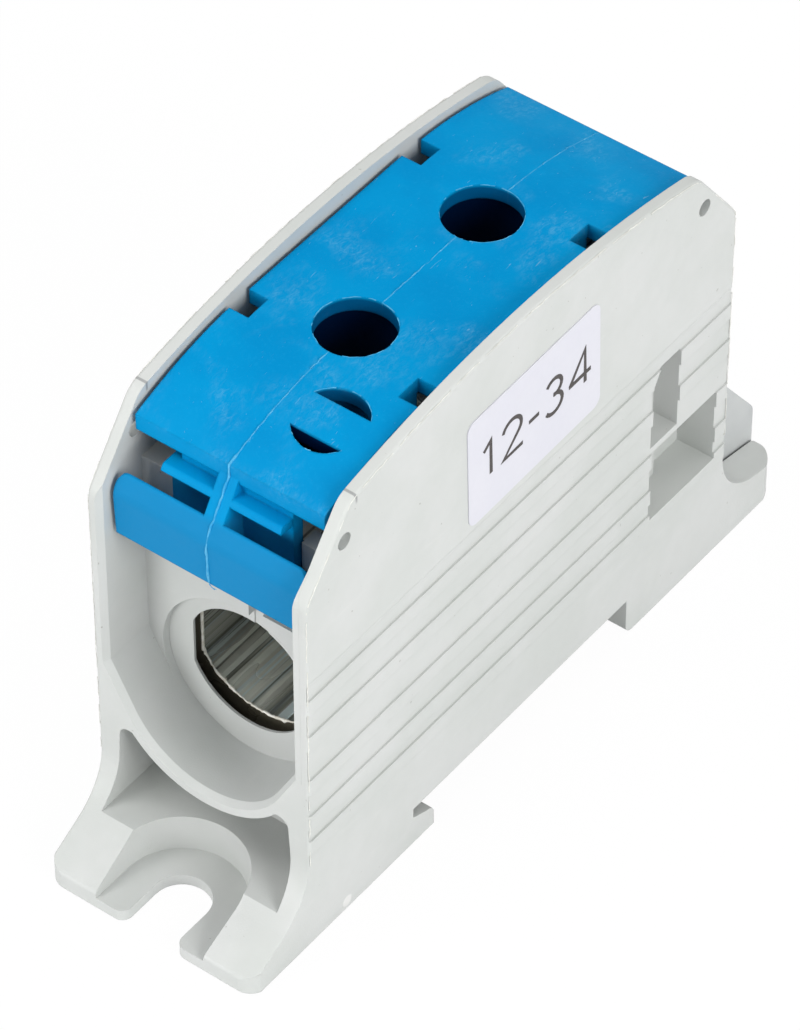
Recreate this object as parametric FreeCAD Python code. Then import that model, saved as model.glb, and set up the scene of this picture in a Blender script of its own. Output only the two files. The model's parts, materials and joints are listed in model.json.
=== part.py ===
import FreeCAD, Part
import math
import os
from FreeCAD import Vector

# Cable terminal clamp for aluminium and copper conductors, on a 35 mm rail or on two screws.
# Millimetres. X across the width, Y along the cables (the front is -Y), Z up from the base.
# The origin is at the middle of the base.

# Housing, outside
width = 26.54
body_length = 70.0
crown_z = 59.3
crown_radius = 130.0
shoulder_radius = 3.0
slope_angle = 52.9
slope_foot_z = 47.3
slope_foot_radius = 3.0
cheek_wall = 1.43
edge_round = 0.4

# Feet
front_foot = 9.1
front_flare_radius = 8.0
front_flare_z = 7.0
front_tip_z = 2.08
front_corner_radius = 2.2
rear_foot = 12.2
rear_flare_radius = 7.5
rear_flare_z = 6.35
rear_tip_z = 3.91
rear_corner_radius = 5.6
front_tip_round = 0.7
rear_tip_round = 1.8
foot_floor = 1.4
pocket_floor = 5.75
rear_pocket_floor = 7.0
pocket_half_low = 11.1
pocket_half_top = 10.5
pocket_top = 16.3
pocket_corner = 1.2
pocket_depth = 7.0
slot_width = 6.4
slot_inset = 5.0
slot_mouth_round = 1.2
counterbore_radius = 6.8
counterbore_draft = 0.3

# Cable funnels and end walls
funnel_depth = 6.6
trough_radius = 10.05
trough_centre_z = 23.6
trough_angle = 62.0
trough_knee = 0.6
trough_wall = 1.5
rim_flare = 0.5
rim_flare_depth = 0.7
end_wall = 2.1
recess_depth = 0.9
opening_radius = 7.45
opening_half_width = 6.9
opening_centre_z = 24.5
opening_land = 0.3
opening_relief = 1.4
lug_top_z = 47.7
lug_gap_half = 7.6
lug_depth = 4.4
wall_saddle_z = 43.0
side_wall_z = 46.0
wall_core_width = 1.9
wall_core_skin = 1.2
wall_core_length = 19.0
wall_core_bottom = 16.5

# Test port in the front end wall
port_half_width = 2.8
port_depth = 1.5
port_bottom_z = 34.63
port_top_z = 42.0
port_step_width = 1.7
port_step_depth = 1.0
port_step_z = 31.5

# Relief of the side faces
relief = 0.22
band_tops = (34.7, 29.75, 23.6, 18.55, 14.95)
band_height = 2.0
panel_bottom_z = 36.6
panel_bevel = 0.6
window_front = 21.5
window_rear = 32.9
window_slot_rear = 26.1
window_floor_z = 14.3
window_shelf_z = 23.6
window_top_z = 34.9
window_shelf = 0.8
window_depth = 4.7
slot_recess_depth = 3.2
window_slot_round = 1.1
window_slot_slant = 1.9
window_wall = 1.0
window_trough_wall = 1.2
seal_hole_radius = 0.95
seal_hole_y = 29.11
seal_hole_z = 51.91

# Seat for the 35 mm rail, with the fixed hook at the front
rail_seat_z = 4.96
rail_width = 35.0
rail_play_front = 0.65
rail_play_rear = 0.7
hook_root_z = 3.67
hook_tip_z = 2.54
hook_length = 3.4
hook_round = 0.45
hook_tip_lean = 0.3
hook_tip_round = 0.2
step_round = 1.2

# Underside cores
core_half_gap = 1.0
core_width = 7.8
core_roof_z = 12.6
core_rib = 1.6
core_count = 4
core_end_wall = 1.5

# Bed of the current-carrying block
cavity_clearance = 0.2
cavity_floor = 14.2
cavity_end_gap = 0.7

# Current-carrying block
block_width = 16.8
block_length = 51.2
block_height = 30.3
passage_radius = 8.4
passage_half_width = 7.3
passage_low_z = 17.3
passage_high_z = 33.6
groove_count = 15
groove_pitch = 1.25
groove_depth = 0.35
block_chamfer = 0.4

# Clamping screws
screw_radius = 6.9
screw_length = 14.0
screw_spacing = 20.2
screw_thread_clearance = 0.08
screw_rest_z = 30.0
screw_chamfer = 0.8
hex_across_flats = 6.0
hex_depth = 6.0
hex_drill_depth = 1.5

# Clip-on cover
cover_gap = 0.48
cover_thickness = 1.8
cover_top_z = 57.6
cover_flat_half = 12.0
cover_bend_radius = 50.0
cover_overhang = 1.2
access_hole_radius = 4.2
test_hole_radius = 3.85
test_hole_x = 5.4
test_hole_y = -20.9
test_bar_front = 2.3
test_bar_rear = 1.8
notch_depth = 2.35
notch_centre = 13.65
notch_width = 3.1
notch_low = 4.0
panel_overhang = 0.8
panel_thickness = 1.4
panel_half_width = 6.7
panel_centre_x = 0.6
panel_foot_gap = 0.2
fin_z = 50.35
fin_thickness = 0.95
fin_round = 0.3
fin_half_width = 7.2
web_half_width = 1.15
skirt_setback = 1.6
skirt_thickness = 1.4
skirt_bottom_z = 41.4
skirt_fold_z = 47.1
skirt_fold_round = 2.5
skirt_draft = 0.25
skirt_top_flat = 0.2
skirt_end_round = 1.2
grille_slope = 57.5
flange_thickness = 1.4
flange_gap = 0.2
collar_play = 0.5
collar_wall = 0.9
collar_bottom_z = 48.3
collar_layer = 12.0
leg_thickness = 1.2
leg_bottom_z = 46.9
leg_width = 2.7
nose_height = 1.3
nose_reach = 1.2
nose_ramp = 0.8
catch_reach = 1.0
catch_gap = 0.25
catch_height = 1.8
catch_edge = 0.5

# Rail latch, its spring and its channel
latch_half_width = 6.9
latch_thickness = 2.0
latch_bottom_z = 1.6
latch_nose = 2.8
latch_nose_ramp = 1.3
latch_side_gap = 0.3
latch_top_gap = 0.2
latch_mouth_gap = 0.5
latch_stop_gap = 0.3
handle_half_width = 8.9
handle_front_gap = 0.4
handle_shoulder_inset = 0.4
handle_shoulder_z = 8.4
handle_shoulder_radius = 4.0
handle_slope = 52.6
handle_top_z = 16.2
handle_ridge_round = 1.0
handle_corner = 0.8
handle_saddle_gap = 0.95
latch_heel = 0.4
eye_inset = 6.3
eye_radius = 2.75
eye_counterbore = 4.7
guide_rib_reach = 0.7
guide_rib_height = 0.9
guide_rib_gap = 0.3
guide_rib_start = 4.0
guide_rib_inset = 1.5
spring_radius = 1.5
spring_wire = 0.5
spring_wire_sides = 6
spring_turns = 7
spring_gap = 0.2
spring_front_y = 22.0
spring_rear_y = 33.0
spring_rib_length = 1.5

# Label on the right cheek
label_length = 21.5
label_height = 14.1
label_corner = 1.2
label_thickness = 0.12
label_y = 0.87
label_z = 45.25
label_tilt = 1.8

half_width = width / 2
half_length = body_length / 2
front_reach = half_length + front_foot
rear_reach = half_length + rear_foot
slot_centre = front_reach - slot_inset
eye_y = rear_reach - eye_inset
latch_mouth_y = half_length + latch_mouth_gap
inner_half = half_width - cheek_wall
rear_pocket_top = window_floor_z - window_wall
wall_face_y = half_length - funnel_depth
wall_back_y = wall_face_y - end_wall
recess_face_y = wall_face_y - recess_depth
cavity_half_x = block_width / 2 + cavity_clearance
cavity_half_y = block_length / 2 + cavity_end_gap
screw_y = screw_spacing / 2
cover_half = inner_half - cover_gap
cover_half_length = wall_face_y + cover_overhang
panel_face_y = wall_face_y + panel_overhang
skirt_front_y = half_length - skirt_setback
skirt_back_y = skirt_front_y - skirt_thickness
panel_back_y = panel_face_y - panel_thickness
rail_front = -rail_width / 2 - rail_play_front
rail_rear = rail_width / 2 + rail_play_rear
far = 80.0
open_top = crown_z + 1.0

# Overlap of joined pieces, and run of a cut past the face it opens
weld = 0.2
past = 0.1


def box(x0, x1, y0, y1, z0, z1):
    return Part.makeBox(x1 - x0, y1 - y0, z1 - z0, Vector(x0, y0, z0))


def mirror_x(shape):
    return shape.mirror(Vector(0, 0, 0), Vector(1, 0, 0))


def mirror_y(shape):
    return shape.mirror(Vector(0, 0, 0), Vector(0, 1, 0))


def cylinder_y(radius, x, z, y0, y1):
    return Part.makeCylinder(radius, y1 - y0, Vector(x, y0, z), Vector(0, 1, 0))


def cylinder_z(radius, x, y, z0, z1):
    return Part.makeCylinder(radius, z1 - z0, Vector(x, y, z0), Vector(0, 0, 1))


def on_yz(x):
    return lambda a, b: Vector(x, a, b)


def on_xz(y):
    return lambda a, b: Vector(a, y, b)


def on_xy(z):
    return lambda a, b: Vector(a, b, z)


def rounded_corner(before, corner, after):
    """Start, middle and end of the arc that rounds one corner (a, b, radius)."""
    a, b, radius = corner
    u = Vector(before[0] - a, before[1] - b, 0).normalize()
    v = Vector(after[0] - a, after[1] - b, 0).normalize()
    half = u.getAngle(v) / 2
    reach = radius / math.tan(half)
    inward = (u + v).normalize()
    middle = radius / math.sin(half) - radius
    point = Vector(a, b, 0)
    return point + u * reach, point + inward * middle, point + v * reach


def outline(corners, place):
    """Closed wire through corners (a, b) or (a, b, radius), laid on a plane by place."""
    corners = [c if len(c) == 3 else (c[0], c[1], 0) for c in corners]
    stops = []
    for i, corner in enumerate(corners):
        before = corners[i - 1]
        after = corners[(i + 1) % len(corners)]
        if corner[2] > 0:
            stops.append(rounded_corner(before, corner, after))
        else:
            stops.append((Vector(corner[0], corner[1], 0),))
    edges = []
    for i, stop in enumerate(stops):
        here = [place(p.x, p.y) for p in stop]
        following = stops[(i + 1) % len(stops)][0]
        goal = place(following.x, following.y)
        if len(here) == 3:
            edges.append(Part.Arc(*here).toShape())
        if here[-1].distanceToPoint(goal) > 1e-6:
            edges.append(Part.makeLine(here[-1], goal))
    return Part.Wire(edges)


def prism(corners, place, along):
    return Part.Face(outline(corners, place)).extrude(along)


def across(corners, x0, x1):
    """Side profile (y, z) carried across the width."""
    return prism(corners, on_yz(x0), Vector(x1 - x0, 0, 0))


def lengthwise(corners, y0, y1):
    """End profile (x, z) carried along the length."""
    return prism(corners, on_xz(y0), Vector(0, y1 - y0, 0))


def upright(corners, z0, z1):
    """Plan (x, y) carried up."""
    return prism(corners, on_xy(z0), Vector(0, 0, z1 - z0))


def edges_where(shape, test):
    return [e for e in shape.Edges if test(e.BoundBox)]


def side_profile():
    """Cheek and foot outline, with the crown left tall for the cylinder that trims it."""
    lean = 1 / math.tan(math.radians(slope_angle))
    tall = crown_z + shoulder_radius
    ridge = half_length - (tall - slope_foot_z) * lean
    return [
        (-front_reach, 0),
        (-front_reach, front_tip_z, front_tip_round),
        (-half_length, front_flare_z, front_flare_radius),
        (-half_length, slope_foot_z, slope_foot_radius),
        (-ridge, tall),
        (ridge, tall),
        (half_length, slope_foot_z, slope_foot_radius),
        (half_length, rear_flare_z, rear_flare_radius),
        (rear_reach, rear_tip_z, rear_tip_round),
        (rear_reach, 0),
    ]


def housing_blank():
    """Solid outer form: the cheek profile, crowned, with rounded corners in plan."""
    blank = across(side_profile(), -half_width, half_width)
    crown = Part.makeCylinder(
        crown_radius, width, Vector(-half_width, 0, crown_z - crown_radius), Vector(1, 0, 0)
    )
    lower = box(-half_width, half_width, -far, far, -1, slope_foot_z)
    blank = blank.common(crown.fuse(lower)).removeSplitter()
    shoulders = edges_where(
        blank, lambda b: b.XLength > width - 1 and b.ZMax > slope_foot_z + 3 and b.ZLength < 1e-3
    )
    blank = blank.makeFillet(shoulder_radius, shoulders)
    rims = edges_where(
        blank,
        lambda b: b.XLength < 1e-3 and b.ZMin > pocket_floor and abs(b.XMax) > half_width - 0.01,
    )
    blank = blank.makeFillet(edge_round, rims)
    plan = [
        (-half_width, -front_reach, front_corner_radius),
        (half_width, -front_reach, front_corner_radius),
        (half_width, rear_reach, rear_corner_radius),
        (-half_width, rear_reach, rear_corner_radius),
    ]
    return blank.common(upright(plan, -1, crown_z + 1))


def side_relief():
    """Cut that leaves five bands and the upper panel standing proud of one side face."""
    foot = half_width - relief
    out = half_width + 1
    spans = []
    low = -1.0
    for top in reversed(band_tops):
        spans.append((low, top - band_height))
        low = top
    cuts = [box(foot, out, -far, far, z0, z1) for z0, z1 in spans]
    bevel = [
        (foot, low),
        (out, low),
        (out, panel_bottom_z + panel_bevel),
        (half_width, panel_bottom_z + panel_bevel),
        (foot, panel_bottom_z),
    ]
    cuts.append(lengthwise(bevel, -far, far))
    return cuts


def side_window():
    """Blind window of one side: an upper slot over a deeper pocket, with a shelf between."""
    out = half_width + 1
    pocket = box(
        half_width - window_depth, out, window_front, window_rear, window_floor_z, window_shelf_z
    )
    shell = trough_radius + window_trough_wall
    pocket = pocket.cut(cylinder_y(shell, 0, trough_centre_z, wall_back_y, half_length))
    bed = box(0, cavity_half_x + window_wall, -far, cavity_half_y + window_wall, 0, far)
    pocket = pocket.cut(bed)
    slot = across(
        [
            (window_front, window_shelf_z + window_shelf),
            (window_slot_rear, window_shelf_z + window_shelf),
            (window_slot_rear, window_top_z),
            (window_front + window_slot_round, window_top_z, window_slot_round),
            (window_front, window_top_z - window_slot_slant),
        ],
        half_width - slot_recess_depth,
        out,
    )
    return [pocket, slot]


def trough_section(grow):
    """Cable trough seen along its length, open at the top."""
    rise = math.tan(math.radians(trough_angle))
    side = inner_half + grow
    radius = trough_radius + grow
    apex = trough_centre_z - radius / math.cos(math.radians(trough_angle))
    knee_z = apex + side * rise
    return [
        (-side, open_top),
        (-side, knee_z, trough_knee),
        (0, apex, radius),
        (side, knee_z, trough_knee),
        (side, open_top),
    ]


def clipped_circle(radius, half, y):
    """Circle with two flat sides around the opening's centre, on a plane across the length."""
    rise = math.sqrt(radius ** 2 - half ** 2)
    place = on_xz(y)
    z = opening_centre_z
    upper = [place(-half, z + rise), place(0, z + radius), place(half, z + rise)]
    lower = [place(half, z - rise), place(0, z - radius), place(-half, z - rise)]
    arcs = [Part.Arc(*upper).toShape(), Part.Arc(*lower).toShape()]
    sides = [Part.makeLine(upper[-1], lower[0]), Part.makeLine(lower[-1], upper[0])]
    return Part.Wire([arcs[0], sides[0], arcs[1], sides[1]])


def funnel_cut():
    """Front cable funnel: trough, flared rim, round recess and the opening in the end wall."""
    trough = lengthwise(trough_section(0), -far, -wall_face_y)
    wide = outline(trough_section(rim_flare), on_xz(-half_length - 0.01))
    narrow = outline(trough_section(0), on_xz(-half_length + rim_flare_depth))
    rim = Part.makeLoft([wide, narrow], True, True)
    recess = cylinder_y(trough_radius, 0, trough_centre_z, -far, -recess_face_y)
    edge = clipped_circle(opening_radius, opening_half_width, -far)
    hole = Part.Face(edge).extrude(Vector(0, far - wall_back_y + past, 0))
    land = clipped_circle(opening_radius, opening_half_width, opening_land - recess_face_y)
    back_radius = opening_radius + opening_relief
    back = clipped_circle(back_radius, opening_half_width + opening_relief, -wall_back_y)
    relief_cut = Part.makeLoft([land, back], True, True)
    return [trough, rim, recess, hole, relief_cut]


def foot_pocket(floor_z, top_z, back_y):
    """Front hollow between the cheeks, under the trough."""
    section = [
        (-pocket_half_low, floor_z),
        (-pocket_half_top, top_z, pocket_corner),
        (pocket_half_top, top_z, pocket_corner),
        (pocket_half_low, floor_z),
    ]
    hollow = lengthwise(section, -far, -back_y)
    shell = cylinder_y(trough_radius + trough_wall, 0, trough_centre_z, -half_length, -back_y + 1)
    return hollow.cut(shell)


def screw_slot():
    """Open slot in the front foot, with a drafted counterbore for the screw head."""
    depth = pocket_floor + 3 - foot_floor
    top_radius = counterbore_radius + counterbore_draft * depth / (pocket_floor - foot_floor)
    cone = Part.makeCone(counterbore_radius, top_radius, depth, Vector(0, -slot_centre, foot_floor))
    lane = lengthwise(
        [
            (-counterbore_radius, foot_floor),
            (counterbore_radius, foot_floor),
            (top_radius, foot_floor + depth),
            (-top_radius, foot_floor + depth),
        ],
        -far,
        -slot_centre,
    )
    half = slot_width / 2
    mouth = half + slot_mouth_round
    outer = front_reach + half_width
    plan = [
        (-outer, -outer),
        (-outer, -front_reach),
        (-half, -front_reach, slot_mouth_round),
        (-half, -slot_centre),
        (half, -slot_centre),
        (half, -front_reach, slot_mouth_round),
        (outer, -front_reach),
        (outer, -outer),
    ]
    slot = upright(plan, -1, foot_floor + 1).common(box(-mouth, mouth, -far, 0, -1, far))
    return [cone, lane, slot, cylinder_z(half, 0, -slot_centre, -1, foot_floor + 1)]


def rail_seat():
    """Recess for the rail, under the fixed front hook and up to the plain rear step."""
    profile = [
        (rail_front + hook_length, -1),
        (rail_rear + 2 * step_round, -1),
        (rail_rear + 2 * step_round, 0),
        (rail_rear, 0, step_round),
        (rail_rear, rail_seat_z),
        (rail_front, rail_seat_z),
        (rail_front, hook_root_z),
        (rail_front + hook_length - hook_tip_lean, hook_tip_z, hook_round),
        (rail_front + hook_length, hook_tip_z - hook_round - hook_tip_round, hook_tip_round),
    ]
    return across(profile, -half_width - 1, half_width + 1)


def underside_cores():
    """Pockets that keep the thick base at an even wall, open to the rail side."""
    cuts = []
    span = rail_rear - rail_front - 2 * core_end_wall
    pitch = span / core_count
    for i in range(core_count):
        y0 = rail_front + core_end_wall + i * pitch + core_rib / 2
        y1 = y0 + pitch - core_rib
        cuts.append(box(core_half_gap, core_half_gap + core_width, y0, y1, -1, core_roof_z))
    front_y0 = -wall_face_y + core_rib
    front_y1 = rail_front - core_rib
    cuts.append(box(core_half_gap, core_half_gap + core_width, front_y0, front_y1, -1, core_roof_z))
    return cuts + [mirror_x(c) for c in cuts]


def latch_channel():
    """Underside channel and rear bay in which the rail latch slides."""
    half = latch_half_width + latch_side_gap
    roof = latch_bottom_z + latch_thickness + latch_top_gap
    channel = box(-half, half, rail_rear - 1, latch_mouth_y + past, -1, roof)
    bay_half = handle_half_width + latch_side_gap
    bay = box(-bay_half, bay_half, latch_mouth_y, far, foot_floor, far)
    groove_half = spring_radius + spring_wire / 2 + spring_gap
    groove_top = spring_axis_z() + groove_half
    groove = box(
        -groove_half, groove_half, spring_front_y - 1, spring_rear_y, roof - past, groove_top
    )
    eye = cylinder_z(eye_radius, 0, eye_y, -1, foot_floor + 1)
    return [channel, bay, groove, eye]


def latch_guides():
    """Ribs that hold the latch up in its channel, and the rib that holds the spring's rear end."""
    half = latch_half_width + latch_side_gap
    top = latch_bottom_z - guide_rib_gap
    rib = box(
        half - guide_rib_reach,
        half + weld,
        rail_rear + guide_rib_start,
        latch_mouth_y - guide_rib_inset,
        top - guide_rib_height,
        top,
    )
    roof = latch_bottom_z + latch_thickness + latch_top_gap
    stop_half = spring_radius + spring_wire / 2
    stop_z = latch_bottom_z + latch_thickness / 2
    stop_rear_y = spring_rear_y + spring_rib_length
    stop = box(-stop_half, stop_half, spring_rear_y, stop_rear_y, stop_z, roof + weld)
    return [rib, mirror_x(rib), stop]


def spring_axis_z():
    return latch_bottom_z + spring_radius + spring_wire / 2


def wall_cores():
    """Slits that split each side wall of the bed into two skins, open at the top."""
    inner = cavity_half_x + wall_core_skin
    half = wall_core_length
    slit = box(inner, inner + wall_core_width, -half, half, wall_core_bottom, far)
    return [slit, mirror_x(slit)]


def catch_blocks():
    """Wedges inside the cheeks under which the cover's legs snap."""
    low = leg_bottom_z + nose_height + catch_gap
    wedge = [
        (inner_half - catch_reach, low),
        (inner_half + weld, low),
        (inner_half + weld, low + catch_height),
        (inner_half, low + catch_height),
        (inner_half - catch_reach, low + catch_edge),
    ]
    blocks = []
    for y in (-notch_centre, notch_centre):
        one = lengthwise(wedge, y - leg_width / 2, y + leg_width / 2)
        blocks.extend([one, mirror_x(one)])
    return blocks


def test_port():
    """Relief in the front end wall below the cover's test hole: a pocket with a shallow step beside it."""
    face = -wall_face_y
    pocket_end = test_hole_x + port_half_width
    step_end = test_hole_x - port_half_width
    pocket = box(step_end, pocket_end, face - 1, face + port_depth, port_bottom_z, port_top_z)
    step = box(
        step_end - port_step_width,
        step_end,
        face - 1,
        face + port_step_depth,
        port_step_z,
        port_top_z,
    )
    return [pocket, step]


def housing():
    body = housing_blank()
    cuts = side_relief()
    cuts += side_window()
    cuts += [mirror_x(c) for c in side_relief() + side_window()]
    cuts.append(box(-inner_half, inner_half, -far, far, lug_top_z, far))
    cuts.append(box(-lug_gap_half, lug_gap_half, -far, far, wall_saddle_z, far))
    lug_back = wall_face_y - lug_depth
    cuts.append(box(-inner_half, inner_half, -lug_back, lug_back, side_wall_z, far))
    cuts.append(
        box(-cavity_half_x, cavity_half_x, -cavity_half_y, cavity_half_y, cavity_floor, far)
    )
    funnel = funnel_cut()
    cuts += funnel + [mirror_y(c) for c in funnel]
    cuts.append(foot_pocket(pocket_floor, pocket_top, half_length - pocket_depth))
    cuts.append(mirror_y(foot_pocket(rear_pocket_floor, rear_pocket_top, half_length - pocket_depth)))
    cuts += screw_slot()
    cuts.append(rail_seat())
    cuts += underside_cores()
    cuts += latch_channel()
    cuts += wall_cores()
    cuts += test_port()
    for y in (-seal_hole_y, seal_hole_y):
        hole = Part.makeCylinder(
            seal_hole_radius, width + 2, Vector(-half_width - 1, y, seal_hole_z), Vector(1, 0, 0)
        )
        cuts.append(hole)
    body = body.cut(cuts)
    return body.fuse(latch_guides() + catch_blocks()).removeSplitter()


def crown_point(y, offset):
    """Point of the cover's lengthwise curve, offset millimetres below its top face."""
    beyond = max(abs(y) - cover_flat_half, 0.0)
    radius = cover_bend_radius - offset
    base = cover_top_z - cover_bend_radius
    return Vector(0, y, base + math.sqrt(radius ** 2 - beyond ** 2))


def cover_layer(upper, lower):
    """Layer of the cover's curve between two depths under its top face."""
    ends = cover_half_length
    flat = cover_flat_half
    mid = (flat + ends) / 2
    edges = []
    for depth in (upper, lower):
        near = [crown_point(y, depth) for y in (-ends, -mid, -flat)]
        back = [crown_point(y, depth) for y in (flat, mid, ends)]
        edges.append(Part.Arc(*near).toShape())
        edges.append(Part.makeLine(near[-1], back[0]))
        edges.append(Part.Arc(*back).toShape())
    for y in (-ends, ends):
        edges.append(Part.makeLine(crown_point(y, upper), crown_point(y, lower)))
    face = Part.Face(Part.Wire(Part.__sortEdges__(edges)))
    face.translate(Vector(-cover_half, 0, 0))
    return face.extrude(Vector(2 * cover_half, 0, 0))


def grille_z(y):
    """Height of the sloped front face of the cover's end, y millimetres from the middle."""
    return skirt_fold_z + (skirt_front_y - y) * math.tan(math.radians(grille_slope))


def grille_y(z):
    """Distance of the sloped front face from the middle, at height z."""
    return skirt_front_y - (z - skirt_fold_z) / math.tan(math.radians(grille_slope))


def cover_skirt():
    """Hanging skirt at the front: sloped top band, soft fold and rounded upper ends."""
    top_z = grille_z(skirt_back_y + skirt_top_flat)
    skirt = across(
        [
            (-skirt_back_y, skirt_bottom_z),
            (-skirt_back_y, top_z),
            (-skirt_back_y - skirt_top_flat, top_z),
            (-skirt_front_y, skirt_fold_z, skirt_fold_round),
            (-skirt_front_y + skirt_draft, skirt_bottom_z),
        ],
        -cover_half,
        cover_half,
    )
    front_view = lengthwise(
        [
            (-cover_half, skirt_bottom_z - 1),
            (-cover_half, top_z, skirt_end_round),
            (cover_half, top_z, skirt_end_round),
            (cover_half, skirt_bottom_z - 1),
        ],
        -half_length,
        0,
    )
    return skirt.common(front_view)


def cover_end():
    """Front end of the cover: panel and its wider foot, web, fin, flange and hanging skirt."""
    plate_mid_z = crown_point(-cover_half_length, cover_thickness / 2).z
    fin_top_z = fin_z + fin_thickness
    panel = box(
        panel_centre_x - panel_half_width,
        panel_centre_x + panel_half_width,
        -panel_face_y,
        -panel_back_y,
        wall_saddle_z,
        plate_mid_z,
    )
    foot = box(
        panel_foot_gap - lug_gap_half,
        panel_centre_x,
        -panel_face_y,
        -panel_back_y,
        wall_saddle_z,
        fin_z + fin_thickness / 2,
    )
    fin = across(
        [
            (-panel_back_y, fin_z),
            (-grille_y(fin_z), fin_z, fin_round),
            (-grille_y(fin_top_z), fin_top_z, fin_round),
            (-panel_back_y, fin_top_z),
        ],
        -fin_half_width,
        fin_half_width,
    )
    web = across(
        [
            (-panel_back_y, wall_saddle_z + flange_thickness / 2),
            (-panel_back_y, plate_mid_z),
            (-cover_half_length, grille_z(cover_half_length)),
            (-skirt_back_y - skirt_top_flat, grille_z(skirt_back_y + skirt_top_flat)),
            (-skirt_back_y, wall_saddle_z + flange_thickness / 2),
        ],
        -web_half_width,
        web_half_width,
    )
    flange = box(
        -cover_half,
        cover_half,
        -skirt_back_y - flange_gap,
        -wall_face_y - flange_gap,
        wall_saddle_z,
        wall_saddle_z + flange_thickness,
    )
    return [panel, foot, fin, web, cover_skirt(), flange]


def collar(radius, x, y):
    """Tube under one hole of the plate, and the bore inside it up to the plate."""
    inner = radius + collar_play
    tube = cylinder_z(inner + collar_wall, x, y, collar_bottom_z, cover_top_z)
    bore = cylinder_z(inner, x, y, collar_bottom_z - 1, cover_top_z)
    tube = tube.common(cover_layer(cover_thickness / 2, collar_layer))
    return tube, bore.common(cover_layer(cover_thickness, collar_layer))


def cover_leg():
    """Right front snap leg, with its nose turned out under the cheek's wedge."""
    x0 = cover_half - notch_depth - leg_thickness
    x1 = x0 + leg_thickness
    top = cover_top_z - cover_thickness / 2
    profile = [
        (x0, leg_bottom_z),
        (x1, leg_bottom_z),
        (x1 + nose_reach, leg_bottom_z + nose_ramp),
        (x1 + nose_reach, leg_bottom_z + nose_height),
        (x1, leg_bottom_z + nose_height),
        (x1, top),
        (x0, top),
    ]
    return lengthwise(profile, -notch_centre - leg_width / 2, -notch_centre + leg_width / 2)


def cover():
    end = cover_end()
    leg = cover_leg()
    legs = [leg, mirror_x(leg), mirror_y(leg), mirror_x(mirror_y(leg))]
    holes = [
        (access_hole_radius, 0, -screw_y),
        (access_hole_radius, 0, screw_y),
        (test_hole_radius, test_hole_x, test_hole_y),
    ]
    collars = [collar(*hole) for hole in holes]
    tubes = [tube for tube, bore in collars]
    cuts = [bore for tube, bore in collars]
    plate = cover_layer(0, cover_thickness)
    body = plate.fuse(end + [mirror_y(e) for e in end] + legs + tubes)
    low = cover_top_z - notch_low
    for y in (-notch_centre, notch_centre):
        y0 = y - notch_width / 2
        notch = box(cover_half - notch_depth, cover_half + 1, y0, y0 + notch_width, low, far)
        cuts.extend([notch, mirror_x(notch)])
    openings = [cylinder_z(radius, x, y, low, far) for radius, x, y in holes]
    bar = box(0, far, test_hole_y - test_bar_front, test_hole_y + test_bar_rear, 0, far)
    cuts += openings[:2] + [openings[2].cut(bar)]
    return body.cut(cuts).removeSplitter()


def grooved_floor():
    """Points along the grooved lower arc of the cable passage, from left to right."""
    centre_z = passage_low_z + passage_radius
    steps = 2 * groove_count
    half_sweep = groove_pitch * groove_count / passage_radius / 2
    points = []
    for i in range(steps + 1):
        angle = half_sweep * (2 * i / steps - 1)
        radius = passage_radius + (groove_depth if i % 2 else 0.0)
        points.append((radius * math.sin(angle), centre_z - radius * math.cos(angle)))
    return points


def cable_passage():
    """Passage right through the block: grooved floor, flat sides and round roof."""
    roof_z = passage_high_z - passage_radius
    points = grooved_floor()
    points.append((passage_half_width, passage_low_z + passage_radius))
    points.append((passage_half_width, roof_z + 1))
    points.append((-passage_half_width, roof_z + 1))
    points.append((-passage_half_width, passage_low_z + passage_radius))
    floor = lengthwise(points, -far, far)
    roof = cylinder_y(passage_radius, 0, roof_z, -far, far)
    flats = box(-passage_half_width, passage_half_width, -far, far, 0, far)
    above = box(-far, far, -far, far, roof_z, far)
    return [floor.common(flats), roof.common(flats).common(above)]


def terminal_block():
    """Tinned block with the cable passage right through and two threaded screw holes."""
    body = box(
        -block_width / 2,
        block_width / 2,
        -block_length / 2,
        block_length / 2,
        cavity_floor,
        cavity_floor + block_height,
    )
    cuts = cable_passage()
    hole_radius = screw_radius + screw_thread_clearance
    for y in (-screw_y, screw_y):
        cuts.append(cylinder_z(hole_radius, 0, y, passage_low_z + passage_radius, far))
    body = body.cut(cuts)
    corners = edges_where(
        body,
        lambda b: b.YLength > block_length - 0.1 and abs(abs(b.XMax) - block_width / 2) < 0.01,
    )
    return body.makeChamfer(block_chamfer, corners)


def clamp_screw(y):
    """Set screw with a hexagon socket, part way down over the passage."""
    top = screw_rest_z + screw_length
    body = cylinder_z(screw_radius, 0, y, screw_rest_z, top)
    rims = edges_where(body, lambda b: b.ZLength < 1e-3)
    body = body.makeChamfer(screw_chamfer, rims)
    corner = hex_across_flats / math.sqrt(3)
    hexagon = []
    for i in range(6):
        angle = math.radians(60 * i + 30)
        hexagon.append((corner * math.cos(angle), y + corner * math.sin(angle)))
    socket = upright(hexagon, top - hex_depth, top + 1)
    tip = Vector(0, y, top - hex_depth - hex_drill_depth)
    drill = Part.makeCone(0, hex_across_flats / 2, hex_drill_depth + past, tip)
    return body.cut([socket, drill])


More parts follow.
